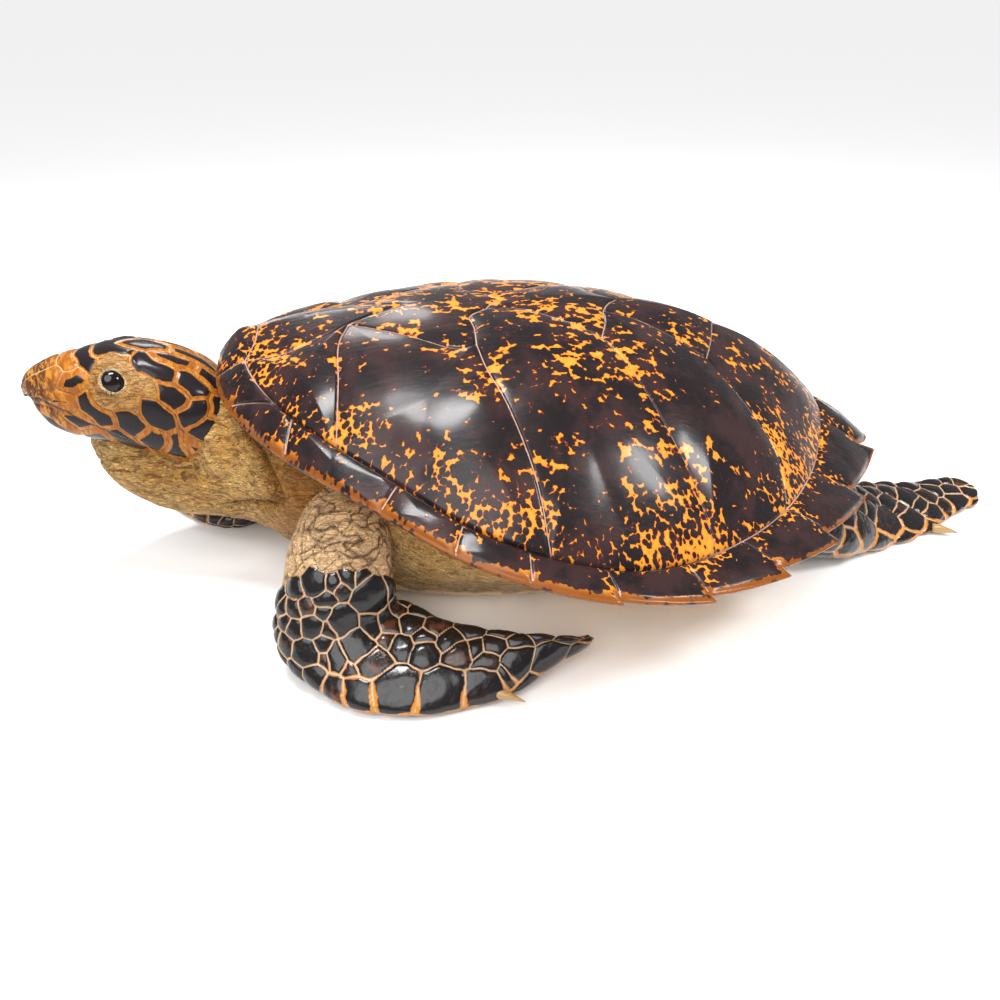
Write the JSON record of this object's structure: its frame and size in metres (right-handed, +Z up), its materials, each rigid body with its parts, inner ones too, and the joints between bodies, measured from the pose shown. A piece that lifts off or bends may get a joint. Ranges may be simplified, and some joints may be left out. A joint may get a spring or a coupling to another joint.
{
  "type": "mounted sea turtle",
  "caption": "Preserved hawksbill sea turtle with a glossy tortoiseshell carapace, scaled head and flippers and wrinkled neck, resting on its belly.",
  "frame": {"origin": "middle of the turtle's outline seen from above, on the surface that it rests on", "axes": "-X towards the beak, -Y towards the turtle's left side, +Z up"},
  "size_m": [0.8386, 0.4872, 0.222],
  "materials": {
    "tortoiseshell": "varnished horn, dark brown to black with amber splashes",
    "belly_shell": "varnished horn, amber to cream",
    "wrinkled_skin": "dry wrinkled skin under thin varnish, tan",
    "head_plates": "varnished horn plates, black-brown with orange borders",
    "scaled_skin": "varnished scales, black-brown with cream and amber borders",
    "glass_eye": "polished black glass"
  },
  "bodies": {
    "root": {"carapace": "tortoiseshell", "plastron": "belly_shell", "neck": "wrinkled_skin", "head": "head_plates", "eye_left": "glass_eye", "eye_right": "glass_eye", "front_flipper_left": "scaled_skin", "front_flipper_right": "scaled_skin", "hind_flipper_left": "scaled_skin", "hind_flipper_right": "scaled_skin", "tail": "wrinkled_skin"}
  },
  "joints": []
}
